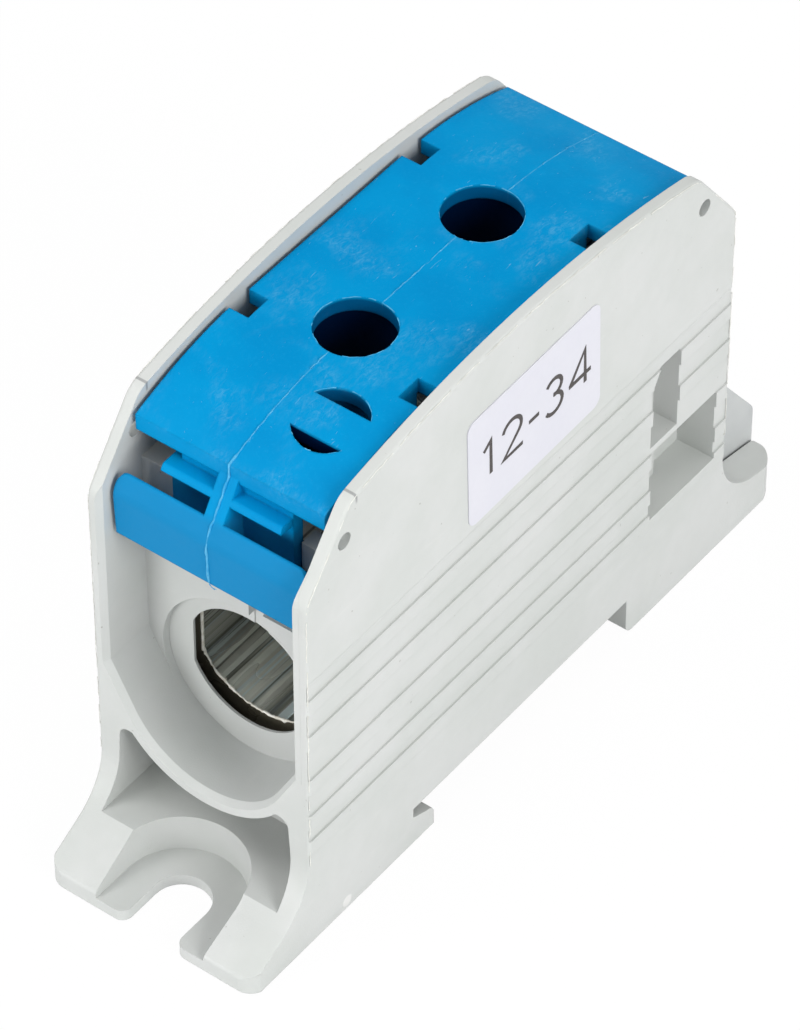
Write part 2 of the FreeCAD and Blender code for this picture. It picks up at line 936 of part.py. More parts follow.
def latch_handle():
    """Lug behind the housing: sloped back, small corners and a saddle under the cable."""
    front = latch_mouth_y + handle_front_gap
    shoulder_y = rear_reach - handle_shoulder_inset
    rise = handle_top_z - handle_shoulder_z
    ridge_y = shoulder_y - rise / math.tan(math.radians(handle_slope))
    lug = across(
        [
            (front, latch_bottom_z),
            (rear_reach, latch_bottom_z),
            (shoulder_y, handle_shoulder_z, handle_shoulder_radius),
            (ridge_y, handle_top_z, handle_ridge_round),
            (front, handle_top_z),
        ],
        -handle_half_width,
        handle_half_width,
    )
    plan = upright(
        [
            (-handle_half_width, front, handle_corner),
            (handle_half_width, front, handle_corner),
            (handle_half_width, rear_reach, handle_corner),
            (-handle_half_width, rear_reach, handle_corner),
        ],
        0,
        far,
    )
    saddle_radius = trough_radius + handle_saddle_gap
    saddle = cylinder_y(saddle_radius, 0, trough_centre_z, half_length, far)
    return lug.common(plan).cut(saddle)


def rail_latch():
    """Sliding latch: nose under the rail's lip, plate with the spring's window, lug with an eye."""
    z0 = latch_bottom_z
    z1 = z0 + latch_thickness
    plate = across(
        [
            (rail_rear - latch_nose, z0 + latch_nose_ramp),
            (rail_rear - latch_nose, z1),
            (eye_y, z1),
            (eye_y, z0),
            (rail_rear - latch_heel, z0),
        ],
        -latch_half_width,
        latch_half_width,
    )
    window_half = spring_radius + spring_wire / 2 + spring_gap
    window_rear_y = spring_rear_y + spring_rib_length + latch_stop_gap
    window = box(-window_half, window_half, spring_front_y, window_rear_y, 0, z1 + 1)
    eye = cylinder_z(eye_radius, 0, eye_y, 0, far)
    head = cylinder_z(eye_counterbore, 0, eye_y, z1, far)
    return plate.fuse(latch_handle()).cut([window, eye, head]).removeSplitter()


def latch_spring():
    """Coil spring that pushes the latch forward, lying along the channel."""
    length = spring_rear_y - spring_front_y - spring_wire
    section = []
    for i in range(spring_wire_sides):
        angle = 2 * math.pi * i / spring_wire_sides
        x = spring_radius + spring_wire / 2 * math.cos(angle)
        section.append((x, spring_wire / 2 * math.sin(angle)))
    helix = Part.makeHelix(length / spring_turns, length, spring_radius)
    coil = Part.Wire(helix).makePipeShell([outline(section, on_xz(0))], True, True)
    coil.rotate(Vector(0, 0, 0), Vector(1, 0, 0), -90)
    coil.translate(Vector(0, spring_front_y + spring_wire / 2, spring_axis_z()))
    return coil


def side_label():
    """Blank label on the right cheek."""
    a = label_length / 2
    b = label_height / 2
    corners = [(-a, -b), (a, -b), (a, b), (-a, b)]
    rounded = [(y, z, label_corner) for y, z in corners]
    label = across(rounded, half_width, half_width + label_thickness)
    label.rotate(Vector(0, 0, 0), Vector(1, 0, 0), label_tilt)
    label.translate(Vector(0, label_y, label_z))
    return label


def save(name, shape):
    shape.exportStep("parts/" + name + ".step")
    bounds = shape.BoundBox
    print(
        "%-18s solids %d valid %s volume %9.1f  x %.2f..%.2f  y %.2f..%.2f  z %.2f..%.2f"
        % (
            name,
            len(shape.Solids),
            shape.isValid(),
            shape.Volume,
            bounds.XMin,
            bounds.XMax,
            bounds.YMin,
            bounds.YMax,
            bounds.ZMin,
            bounds.ZMax,
        )
    )


os.makedirs("parts", exist_ok=True)
save("housing", housing())
save("cover", cover())
save("terminal_block", terminal_block())
save("clamp_screw_front", clamp_screw(-screw_y))
save("clamp_screw_rear", clamp_screw(screw_y))
save("rail_latch", rail_latch())
save("latch_spring", latch_spring())
save("side_label", side_label())
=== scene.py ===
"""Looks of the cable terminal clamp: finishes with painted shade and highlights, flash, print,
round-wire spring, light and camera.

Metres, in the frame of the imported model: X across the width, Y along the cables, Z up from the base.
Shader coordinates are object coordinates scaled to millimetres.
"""

import json
import math
import random

import bmesh
import bpy
from mathutils import Matrix, Vector

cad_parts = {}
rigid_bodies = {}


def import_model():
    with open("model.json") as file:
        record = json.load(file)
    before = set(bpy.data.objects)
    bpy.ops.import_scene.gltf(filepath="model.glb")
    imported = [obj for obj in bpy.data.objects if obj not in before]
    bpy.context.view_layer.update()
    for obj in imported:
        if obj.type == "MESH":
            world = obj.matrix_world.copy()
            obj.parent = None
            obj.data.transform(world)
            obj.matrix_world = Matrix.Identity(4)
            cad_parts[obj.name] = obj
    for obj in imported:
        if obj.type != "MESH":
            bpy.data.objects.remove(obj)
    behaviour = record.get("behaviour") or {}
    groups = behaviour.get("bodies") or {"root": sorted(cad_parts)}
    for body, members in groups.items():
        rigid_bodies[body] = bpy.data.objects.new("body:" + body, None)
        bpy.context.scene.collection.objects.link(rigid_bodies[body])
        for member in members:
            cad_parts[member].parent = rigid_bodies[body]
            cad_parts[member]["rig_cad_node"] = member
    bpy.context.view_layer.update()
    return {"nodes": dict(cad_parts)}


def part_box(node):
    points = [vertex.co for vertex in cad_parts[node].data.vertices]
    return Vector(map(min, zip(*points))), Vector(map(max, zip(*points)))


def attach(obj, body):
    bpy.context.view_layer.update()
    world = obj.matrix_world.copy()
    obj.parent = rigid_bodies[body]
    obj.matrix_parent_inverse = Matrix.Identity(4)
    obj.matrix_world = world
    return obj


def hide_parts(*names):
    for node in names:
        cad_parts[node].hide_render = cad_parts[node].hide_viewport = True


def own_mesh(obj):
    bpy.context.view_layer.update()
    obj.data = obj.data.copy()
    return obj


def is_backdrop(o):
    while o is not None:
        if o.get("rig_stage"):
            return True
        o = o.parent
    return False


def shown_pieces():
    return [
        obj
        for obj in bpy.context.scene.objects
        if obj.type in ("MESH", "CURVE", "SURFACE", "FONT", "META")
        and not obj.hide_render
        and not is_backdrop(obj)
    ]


MM = 0.001
IMAGE_HEIGHT_PX = 1030

# Sizes of the model that the looks follow
SCREW_Y_MM = 10.1
LABEL_TILT_DEG = 1.8
COVER_TOP_MM = 57.6
COVER_FLAT_MM = 12.0
COVER_BEND_MM = 50.0
COVER_END_MM = 29.6
BLOCK_END_MM = 25.6
TEST_X_MM = 5.4
TEST_Y_MM = -20.9
BAR_FRONT_MM = -23.2
TICK_Y_MM = -27.2
GATE_Y_MM = -29.0
GATE_Z_MM = 1.0
ACCESS_RADIUS_MM = 4.2
TEST_RADIUS_MM = 3.85
HALF_WIDTH_MM = 13.27
HALF_BODY_MM = 35.0
SHOULDER_Z_MM = 47.3
SHOULDER_SLOPE_DEG = 52.9
SHOULDER_ROUND_MM = 3.0
CROWN_Z_MM = 59.3
CROWN_RADIUS_MM = 130.0
THREAD_RADIUS_MM = 6.94
THREAD_PITCH_MM = 1.75
SMOOTH_BELOW_DEG = 32

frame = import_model()
nodes = frame["nodes"]


class Shader:
    """Small builder for one node material with a Principled surface."""

    def __init__(self, name):
        self.material = bpy.data.materials.new(name)
        self.material.use_nodes = True
        self.tree = self.material.node_tree
        self.bsdf = self.tree.nodes["Principled BSDF"]
        coords = self.node("ShaderNodeTexCoord")
        scale = self.node("ShaderNodeVectorMath", operation="SCALE")
        scale.inputs["Scale"].default_value = 1 / MM
        self.link(coords.outputs["Object"], scale.inputs[0])
        self.mm = scale.outputs["Vector"]
        self.height = None

    def node(self, kind, **settings):
        made = self.tree.nodes.new(kind)
        for key, value in settings.items():
            setattr(made, key, value)
        return made

    def link(self, source, target):
        self.tree.links.new(source, target)

    def put(self, target, value):
        if isinstance(value, bpy.types.NodeSocket):
            self.link(value, target)
        else:
            target.default_value = value

    def math(self, operation, a, b=0.0, c=0.0):
        made = self.node("ShaderNodeMath", operation=operation)
        for socket, value in zip(made.inputs, (a, b, c)):
            self.put(socket, value)
        return made.outputs[0]

    def axes(self):
        """The three millimetre coordinates as separate values."""
        split = self.node("ShaderNodeSeparateXYZ")
        self.link(self.mm, split.inputs[0])
        return split.outputs["X"], split.outputs["Y"], split.outputs["Z"]

    def stretched(self, x, y, z):
        made = self.node("ShaderNodeVectorMath", operation="MULTIPLY")
        self.link(self.mm, made.inputs[0])
        made.inputs[1].default_value = (x, y, z)
        return made.outputs["Vector"]

    def noise(self, per_mm, detail=3.0, roughness=0.5, vector=None, distortion=0.0):
        made = self.node("ShaderNodeTexNoise")
        self.link(vector or self.mm, made.inputs["Vector"])
        made.inputs["Scale"].default_value = per_mm
        made.inputs["Detail"].default_value = detail
        made.inputs["Roughness"].default_value = roughness
        made.inputs["Distortion"].default_value = distortion
        return made.outputs["Fac"]

    def ramp(self, value, low, high, out_low=0.0, out_high=1.0):
        """Smooth step of value from low to high."""
        made = self.node("ShaderNodeMapRange", interpolation_type="SMOOTHSTEP")
        self.link(value, made.inputs["Value"])
        limits = {"From Min": low, "From Max": high, "To Min": out_low, "To Max": out_high}
        for name, number in limits.items():
            made.inputs[name].default_value = number
        return made.outputs["Result"]

    def mix(self, factor, a, b):
        made = self.node("ShaderNodeMix", data_type="RGBA")
        self.put(made.inputs["Factor"], factor)
        for socket, colour in ((made.inputs["A"], a), (made.inputs["B"], b)):
            if isinstance(colour, bpy.types.NodeSocket):
                self.link(colour, socket)
            else:
                socket.default_value = (*colour, 1.0)
        return made.outputs["Result"]

    def distance(self, a, b):
        """Length of the two offsets a and b at a right angle."""
        squares = self.math("ADD", self.math("MULTIPLY", a, a), self.math("MULTIPLY", b, b))
        return self.math("SQRT", squares)

    def near(self, value, centre, half):
        """1 where value lies within half of centre, with soft edges."""
        off = self.math("ABSOLUTE", self.math("SUBTRACT", value, centre))
        return self.ramp(off, half * 0.6, half * 1.2, 1.0, 0.0)

    def emboss(self, height, depth_mm):
        """Adds a height field (0 to 1) to the surface relief."""
        part = self.math("MULTIPLY", height, depth_mm)
        self.height = part if self.height is None else self.math("ADD", self.height, part)

    def finish(self, colour, roughness, metallic=0.0, specular=0.5, edge_mm=0.0):
        """Connects the surface; edge_mm rounds the look of sharp edges."""
        self.put_colour(colour)
        self.put(self.bsdf.inputs["Roughness"], roughness)
        self.bsdf.inputs["Metallic"].default_value = metallic
        self.bsdf.inputs["Specular IOR Level"].default_value = specular
        bump = self.node("ShaderNodeBump")
        bump.inputs["Strength"].default_value = 1.0
        bump.inputs["Distance"].default_value = MM
        self.link(self.height, bump.inputs["Height"])
        if edge_mm > 0:
            edge = self.node("ShaderNodeBevel", samples=4)
            edge.inputs["Radius"].default_value = edge_mm * MM
            self.link(edge.outputs["Normal"], bump.inputs["Normal"])
        self.link(bump.outputs["Normal"], self.bsdf.inputs["Normal"])
        return self.material

    def put_colour(self, colour):
        if isinstance(colour, bpy.types.NodeSocket):
            self.link(colour, self.bsdf.inputs["Base Color"])
        else:
            self.bsdf.inputs["Base Color"].default_value = (*colour, 1.0)


def srgb(red, green, blue):
    """Linear colour from 8-bit display values."""
    linear = []
    for level in (red, green, blue):
        share = level / 255
        linear.append(share / 12.92 if share <= 0.04045 else ((share + 0.055) / 1.055) ** 2.4)
    return tuple(linear)


def housing_plastic():
    """Light grey moulded plastic: fine grain, faint clouding, specks, mould marks."""
    s = Shader("housing_plastic")
    x, y, z = s.axes()
    clouds = s.ramp(s.noise(0.09, detail=4.0), 0.35, 0.65)
    colour = s.mix(clouds, srgb(185, 188, 185), srgb(190, 192, 190))
    streaks = s.noise(0.5, detail=4.0, vector=s.stretched(1.0, 0.18, 1.6), distortion=0.6)
    colour = s.mix(s.ramp(streaks, 0.60, 0.78, 0.0, 0.22), colour, srgb(199, 200, 198))
    specks = s.ramp(s.noise(1.7, detail=1.0), 0.79, 0.82, 0.0, 0.5)
    colour = s.mix(specks, colour, srgb(126, 124, 117))
    # Dark tick across the crown, then the pale round gate mark low on the right side
    tick = s.math("MULTIPLY", s.near(y, TICK_Y_MM, 0.16), s.ramp(z, 55.2, 55.8))
    colour = s.mix(s.math("MULTIPLY", tick, 0.6), colour, srgb(100, 102, 104))
    gate_y = s.math("SUBTRACT", y, GATE_Y_MM)
    gate_z = s.math("SUBTRACT", z, GATE_Z_MM)
    gate_shape = s.ramp(s.distance(gate_y, gate_z), 0.55, 0.85, 1.0, 0.0)
    gate = s.math("MULTIPLY", gate_shape, s.ramp(x, 12.5, 12.9))
    colour = s.mix(gate, colour, srgb(209, 209, 207))
    s.emboss(s.noise(6.0, detail=2.0), 0.012)
    s.emboss(s.noise(0.14, detail=2.0), 0.10)
    s.emboss(gate, 0.05)
    roughness = s.ramp(s.noise(0.6, detail=3.0), 0.3, 0.7, 0.44, 0.56)
    return s.finish(colour, roughness, specular=0.42, edge_mm=0.08)


def cover_plastic():
    """Blue moulded plastic with handling haze and a scar on the middle plane, painted sheen on the
    skirt and painted shade in the holes.
    """
    s = Shader("cover_plastic")
    x, y, z = s.axes()
    clouds = s.ramp(s.noise(0.12, detail=4.0), 0.35, 0.65)
    colour = s.mix(clouds, srgb(0, 128, 184), srgb(0, 135, 190))
    # Painted sheen: below z 49.6 mm the skirt goes greyer, standing in for the reflection its faces
    # catch
    colour = s.mix(s.ramp(z, 49.6, 48.4), colour, srgb(20, 122, 173))
    # Scuffs, mottle and fine scratches lie on the plate only
    top = s.ramp(z, 52.0, 55.0)
    patches = s.math("MULTIPLY", s.ramp(s.noise(0.13, detail=3.0, distortion=0.5), 0.46, 0.66), top)
    haze = s.noise(1.5, detail=8.0, roughness=0.72, vector=s.stretched(1.3, 0.6, 1.0), distortion=0.6)
    scuffs = s.math("MULTIPLY", s.ramp(haze, 0.40, 0.82, 0.0, 0.6), patches)
    colour = s.mix(scuffs, colour, srgb(92, 160, 196))
    mottle = s.ramp(s.noise(2.6, detail=4.0, roughness=0.7), 0.50, 0.74, 0.0, 0.30)
    colour = s.mix(s.math("MULTIPLY", mottle, top), colour, srgb(24, 146, 197))
    scratch = s.noise(3.2, detail=3.0, vector=s.stretched(1.0, 0.16, 1.0), distortion=1.6)
    fine = s.math("MULTIPLY", s.ramp(scratch, 0.70, 0.76, 0.0, 0.45), top)
    colour = s.mix(fine, colour, srgb(126, 172, 199))
    scar = s.math("MULTIPLY", s.near(x, 0.0, 0.07), s.ramp(s.noise(0.7, detail=3.0), 0.35, 0.5))
    colour = s.mix(s.math("MULTIPLY", scar, 0.45), colour, srgb(83, 160, 197))
    # Depth below the upper face, as cover_z gives it
    beyond = s.math("MAXIMUM", s.math("SUBTRACT", s.math("ABSOLUTE", y), COVER_FLAT_MM), 0.0)
    drop = s.math("SUBTRACT", COVER_BEND_MM ** 2, s.math("MULTIPLY", beyond, beyond))
    crown = s.math("ADD", s.math("SQRT", drop), COVER_TOP_MM - COVER_BEND_MM)
    depth = s.math("SUBTRACT", crown, z)
    # Each hole's axis, the radius that gets painted shade and the depth of its lit wall
    holes = (
        (0.0, -SCREW_Y_MM, 4.95, 1.8),
        (0.0, SCREW_Y_MM, 4.95, 1.8),
        (TEST_X_MM, TEST_Y_MM, 4.5, 4.0),
    )
    shade = 0.0
    dark = 0.0
    for axis_x, axis_y, reach, lit_depth in holes:
        off_x = s.math("SUBTRACT", x, axis_x)
        off_y = s.math("SUBTRACT", y, axis_y)
        shaft = s.math("LESS_THAN", s.distance(off_x, off_y), reach)
        inside = s.ramp(depth, lit_depth - 0.08, lit_depth + 0.06)
        entry = s.ramp(depth, 0.05, 0.45, 0.0, 0.85)
        shade = s.math("MAXIMUM", s.math("MULTIPLY", entry, shaft), shade)
        dark = s.math("MAXIMUM", s.math("MULTIPLY", inside, shaft), dark)
    test_shaft = shaft
    # Painted shade in the holes: darker below the entry, near-black past the lit wall, as if unlit
    # inside
    colour = s.mix(shade, colour, srgb(0, 66, 112))
    colour = s.mix(dark, colour, srgb(0, 20, 51))
    # Painted shade on the test hole's bar, on its front side below the top
    shade_under_bar = s.math("MULTIPLY", s.ramp(depth, 0.25, 0.4), s.near(y, BAR_FRONT_MM, 0.05))
    colour = s.mix(s.math("MULTIPLY", shade_under_bar, test_shaft), colour, srgb(0, 23, 58))
    s.emboss(s.noise(5.0, detail=2.0), 0.010)
    s.emboss(s.noise(0.16, detail=2.0), 0.10)
    s.emboss(fine, -0.01)
    roughness = s.ramp(haze, 0.35, 0.75, 0.36, 0.56)
    return s.finish(colour, roughness, specular=0.03, edge_mm=0.3)


def thread_height(s, axis_y):
    """Helical ridge height about a vertical axis at y = axis_y, near the thread's radius."""
    x, y, z = s.axes()
    off = s.math("SUBTRACT", y, axis_y)
    turn = s.math("DIVIDE", s.math("ARCTAN2", off, x), 2 * math.pi)
    phase = s.math("ADD", s.math("DIVIDE", z, THREAD_PITCH_MM), turn)
    ridge = s.math("PINGPONG", phase, 0.5)
    at_wall = s.near(s.distance(x, off), THREAD_RADIUS_MM, 0.2)
    return s.math("MULTIPLY", s.math("MULTIPLY", ridge, 2.0), at_wall)


def tinned_metal(name, thread_axes):
    """Tinned surface with streaks along Y whose bluish brightness is painted highlight; painted shade
    in the grooves, high up and at the left of the passage, and on the block's end faces.

    Screw threads are embossed about the vertical axes at y = thread_axes.
    """
    s = Shader(name)
    x, y, z = s.axes()
    streaks = s.noise(2.2, detail=1.0, vector=s.stretched(1.0, 0.012, 1.0))
    groove_shade_lines = s.noise(2.0, detail=1.0, vector=s.stretched(1.0, 0.012, 1.3))
    clouds = s.noise(0.3, detail=1.0, vector=s.stretched(1.0, 0.2, 1.0))
    bands = s.noise(0.42, detail=2.0, vector=s.stretched(1.0, 0.012, 1.0))
    colour = s.mix(s.ramp(clouds, 0.35, 0.7), srgb(246, 247, 236), srgb(232, 234, 224))
    colour = s.mix(s.ramp(bands, 0.36, 0.50), srgb(160, 162, 152), colour)
    # Painted highlight: the bright bluish streaks stand in for glints on the drawn lines, whose relief
    # is embossed below
    colour = s.mix(s.ramp(streaks, 0.50, 0.60), colour, srgb(242, 255, 255))
    # Painted shade in the grooves between the drawn lines
    colour = s.mix(s.ramp(groove_shade_lines, 0.56, 0.66, 0.0, 0.8), colour, srgb(90, 88, 76))
    # Painted shade inside the passage: the upper part and the left wall are darker
    passage = s.ramp(z, 33.4, 34.4, 1.0, 0.0)
    upper = s.math("MULTIPLY", s.ramp(z, 24.5, 29.5, 0.0, 0.9), passage)
    colour = s.mix(upper, colour, srgb(62, 62, 55))
    left = s.math("MULTIPLY", s.ramp(x, -7.35, -5.2, 0.6, 0.0), passage)
    colour = s.mix(left, colour, srgb(78, 78, 68))
    # Painted shade on the block's end faces round the passage mouths
    end_face_shade = s.ramp(s.math("ABSOLUTE", y), BLOCK_END_MM - 0.06, BLOCK_END_MM - 0.02)
    colour = s.mix(end_face_shade, colour, srgb(104, 99, 86))
    s.emboss(streaks, 0.02)
    for axis_y in thread_axes:
        s.emboss(thread_height(s, axis_y), 0.7)
    roughness = s.ramp(clouds, 0.3, 0.75, 0.22, 0.38)
    return s.finish(colour, roughness, metallic=0.35, specular=0.5)


def flash_and_highlight_tone(name, pale, deep):
    """Thin torn edge of a moulding or of drawn metal, uneven between two tones; pale tones from the
    callers also paint highlights and glints along edges.
    """
    s = Shader(name)
    tone = s.mix(s.ramp(s.noise(1.4, detail=3.0), 0.35, 0.65), pale, deep)
    s.emboss(s.noise(8.0, detail=2.0), 0.01)
    return s.finish(tone, 0.45, specular=0.3)


def latch_plastic():
    """Slightly greyer moulded plastic of the latch."""
    s = Shader("latch_plastic")
    clouds = s.ramp(s.noise(0.2, detail=4.0), 0.35, 0.65)
    colour = s.mix(clouds, srgb(172, 175, 175), srgb(180, 183, 182))
    s.emboss(s.noise(6.0, detail=2.0), 0.012)
    s.emboss(s.noise(0.2, detail=2.0), 0.06)
    return s.finish(colour, s.ramp(s.noise(0.8), 0.3, 0.7, 0.42, 0.54), specular=0.42, edge_mm=0.2)


def spring_steel():
    """Drawn steel wire with faint lengthwise lines."""
    s = Shader("spring_steel")
    lines = s.noise(4.0, detail=3.0)
    colour = s.mix(s.ramp(lines, 0.35, 0.7), srgb(150, 152, 156), srgb(186, 188, 192))
    s.emboss(lines, 0.004)
    return s.finish(colour, s.ramp(lines, 0.3, 0.7, 0.22, 0.36), metallic=1.0)


def label_film():
    """White film with a lavender cast and fine paper tooth."""
    s = Shader("label_film")
    clouds = s.ramp(s.noise(0.15, detail=3.0), 0.3, 0.7)
    colour = s.mix(clouds, srgb(198, 198, 206), srgb(200, 200, 207))
    s.emboss(s.noise(7.0, detail=2.0), 0.006)
    return s.finish(colour, s.ramp(s.noise(1.2), 0.3, 0.7, 0.36, 0.48), specular=0.4)


def label_ink():
    """Dark grey print, a little uneven."""
    s = Shader("label_ink")
    colour = s.mix(s.ramp(s.noise(3.0, detail=3.0), 0.3, 0.7), srgb(54, 49, 47), srgb(69, 64, 62))
    s.emboss(s.noise(7.0, detail=2.0), 0.003)
    return s.finish(colour, 0.5, specular=0.3)


def dress(node, material):
    """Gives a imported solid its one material."""
    mesh = nodes[node].data
    mesh.materials.clear()
    mesh.materials.append(material)


dress("housing", housing_plastic())
dress("cover", cover_plastic())
dress("terminal_block", tinned_metal("block_tin", (-SCREW_Y_MM, SCREW_Y_MM)))
dress("clamp_screw_front", tinned_metal("screw_tin_front", (-SCREW_Y_MM,)))
dress("clamp_screw_rear", tinned_metal("screw_tin_rear", (SCREW_Y_MM,)))
dress("rail_latch", latch_plastic())
dress("side_label", label_film())


def smooth_by_angle(obj, degrees):
    """Smooth shading with sharp edges kept above the angle."""
    obj.data.shade_smooth()
    obj.data.set_sharp_from_angle(angle=math.radians(degrees))


def add_piece(name, mesh, material, body, turn=None):
    """Links a mesh as a piece with one material that rides a body, placed by the matrix turn."""
    obj = bpy.data.objects.new(name, mesh)
    bpy.context.scene.collection.objects.link(obj)
    if turn is not None:
        obj.matrix_world = turn
    mesh.materials.clear()
    mesh.materials.append(material)
    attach(obj, body)
    return obj


def tube_mesh(name, curve):
    """Smooth mesh of a bevelled curve."""
    raw = bpy.data.objects.new(name + "_raw", curve)
    bpy.context.scene.collection.objects.link(raw)
    depsgraph = bpy.context.evaluated_depsgraph_get()
    mesh = bpy.data.meshes.new_from_object(raw.evaluated_get(depsgraph))
    bpy.data.objects.remove(raw)
    mesh.shade_smooth()
    return mesh


def arc_points(centre, radius, start_deg, end_deg, steps=14):
    """Points along a circular arc, from one angle to another."""
    points = []
    for i in range(steps + 1):
        angle = math.radians(start_deg + (end_deg - start_deg) * i / steps)
        a = centre[0] + radius * math.cos(angle)
        b = centre[1] + radius * math.sin(angle)
        points.append((a, b))
    return points


# Each numeral's advance and its strokes, as shares of the height
GLYPHS = {
    "1": (0.40, [[(0.02, 0.80), (0.24, 0.99), (0.24, 0.0)]]),
    "2": (0.66, [arc_points((0.33, 0.70), 0.29, 165, -38) + [(0.05, 0.0), (0.66, 0.0)]]),
    "-": (0.34, [[(0.02, 0.40), (0.34, 0.40)]]),
    "3": (
        0.60,
        [arc_points((0.30, 0.745), 0.245, 150, -90), arc_points((0.29, 0.255), 0.27, 92, -150)],
    ),
    "4": (0.70, [[(0.52, 0.0), (0.52, 0.99), (0.03, 0.27)], [(0.0, 0.27), (0.70, 0.27)]]),
}


def stroke_mesh(name, polylines, width, thickness):
    """Flat closed strips of one width along polylines, each a little higher than the last."""
    step_up = 0.15
    verts = []
    faces = []
    for rank, points in enumerate(polylines):
        points = [Vector(p) for p in points]
        top = thickness * (1 + step_up * rank)
        base = len(verts)
        for i, point in enumerate(points):
            before = points[max(i - 1, 0)]
            after = points[min(i + 1, len(points) - 1)]
            first = (point - before).normalized() if i > 0 else (after - point).normalized()
            last = (after - point).normalized() if i < len(points) - 1 else first
            bend = (first + last).normalized()
            side = Vector((-bend.y, bend.x))
            reach = width / 2 / max(bend.dot(first), 0.5)
            left = point + side * reach
            right = point - side * reach
            verts += [(*right, 0.0), (*left, 0.0), (*left, top), (*right, top)]
        for i in range(len(points) - 1):
            here = base + 4 * i
            there = here + 4
            for k in range(4):
                faces.append((here + k, here + (k + 1) % 4, there + (k + 1) % 4, there + k))
        faces.append((base + 3, base + 2, base + 1, base))
        last = base + 4 * (len(points) - 1)
        faces.append((last, last + 1, last + 2, last + 3))
    mesh = bpy.data.meshes.new(name)
    mesh.from_pydata(verts, [], faces)
    mesh.update()
    return mesh


def label_print(text, height_mm, gap_share, foot_mm):
    """Printed numerals on the label, reading along +Y; foot_mm is the lower left (y, z)."""
    low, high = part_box("side_label")
    centre = (low + high) / 2
    wide = 1.13
    stroke_width = 0.5 * MM
    ink_height = 0.02 * MM
    sunk = 0.004 * MM
    size = height_mm * MM
    pen = 0.0
    polylines = []
    for letter in text:
        advance, strokes = GLYPHS[letter]
        for stroke in strokes:
            polylines.append([((pen + x * wide) * size, y * size) for x, y in stroke])
        pen += advance * wide + gap_share
    mesh = stroke_mesh("label_print", polylines, stroke_width, ink_height)
    basis = Matrix(((0, 0, 1), (1, 0, 0), (0, 1, 0))).to_4x4()
    foot = Vector((0, foot_mm[0] * MM - centre.y, foot_mm[1] * MM - centre.z))
    tilt = Matrix.Rotation(math.radians(LABEL_TILT_DEG), 4, "X")
    place = Matrix.Translation(Vector((high.x - sunk, centre.y, centre.z)))
    turn = place @ tilt @ Matrix.Translation(foot) @ basis
    return add_piece("label_print", mesh, label_ink(), "housing_body", turn)


label_print("12-34", height_mm=4.55, gap_share=0.2, foot_mm=(-7.5, 43.2))


def rounded_path(corners, per_mm=1.5):
    """Points along a polyline (a, b, radius) with its corners rounded."""
    corner_steps = 8
    points = []
    for i, (a, b, radius) in enumerate(corners):
        here = Vector((a, b))
        if radius <= 0 or i in (0, len(corners) - 1):
            points.append(here)
            continue
        u = (Vector(corners[i - 1][:2]) - here).normalized()
        v = (Vector(corners[i + 1][:2]) - here).normalized()
        half = u.angle(v) / 2
        reach = radius / math.tan(half)
        centre = here + (u + v).normalized() * radius / math.sin(half)
        start = here + u * reach - centre
        end = here + v * reach - centre
        for k in range(corner_steps + 1):
            spoke = start.lerp(end, k / corner_steps)
            points.append(centre + spoke.normalized() * radius)
    dense = [points[0]]
    for point in points[1:]:
        last = dense[-1]
        count = max(1, int((point - last).length * per_mm))
        dense += [last.lerp(point, (k + 1) / count) for k in range(count)]
    return dense


def torn_line(name, points_mm, radius_mm, wobble_mm, seed, keep, material, body):
    """Thin broken tube through points (x, y, z, share of the radius), with gaps where keep says no."""
    least, most, follow = 0.35, 1.65, 0.55
    chance = random.Random(seed)
    curve = bpy.data.curves.new(name + "_path", "CURVE")
    curve.dimensions = "3D"
    curve.bevel_depth = 1.0 * MM
    curve.bevel_resolution = 1
    curve.use_fill_caps = True
    runs = [[]]
    swell = 1.0
    for point in points_mm:
        swell += (chance.uniform(least, most) - swell) * follow
        if keep(point, chance):
            shift = Vector([chance.uniform(-wobble_mm, wobble_mm) for _ in range(3)])
            runs[-1].append((Vector(point[:3]) + shift, radius_mm * point[3] * swell))
        elif runs[-1]:
            runs.append([])
    for run in runs:
        if len(run) < 2:
            continue
        spline = curve.splines.new("POLY")
        spline.points.add(len(run) - 1)
        for target, (place, radius) in zip(spline.points, run):
            target.co = (*(place * MM), 1.0)
            target.radius = radius
    return add_piece(name, tube_mesh(name, curve), material, body)


def cheek_rim(sign, inset_mm):
    """Points of a cheek's outer corner, set in a little: front edge, slope, crown and down again."""
    slope = math.tan(math.radians(SHOULDER_SLOPE_DEG))
    half, foot_z, turn = HALF_BODY_MM, SHOULDER_Z_MM, SHOULDER_ROUND_MM
    front_low_z, rear_low_z = 11.5, 16.0
    first_y, step_y, steps = -30.0, 0.5, 120
    clear = 8  # crown points that the rounded shoulder takes up
    crown = []
    for i in range(steps + 1):
        y = first_y + i * step_y
        z = CROWN_Z_MM - CROWN_RADIUS_MM + math.sqrt(CROWN_RADIUS_MM ** 2 - y * y)
        if z <= foot_z + (half - abs(y)) * slope:
            crown.append((y, z))
    y0, z0 = crown[0]
    corners = [(-half, front_low_z, 0), (-half, foot_z, turn), (y0, z0, turn)]
    corners += [(y, z, 0) for y, z in crown[clear:-clear]]
    corners += [(-y0, z0, turn), (half, foot_z, turn), (half, rear_low_z, 0)]
    middle = Vector((0, 30.0))
    x = sign * (HALF_WIDTH_MM - inset_mm)
    return [
        (x, *(point + (middle - point).normalized() * inset_mm), 1.0)
        for point in rounded_path(corners)
    ]


def broken(share):
    """Test for torn_line that leaves out this share of the points."""
    return lambda point, chance: chance.random() > share


def unbroken(point, chance):
    """Test for torn_line that keeps every point."""
    return True


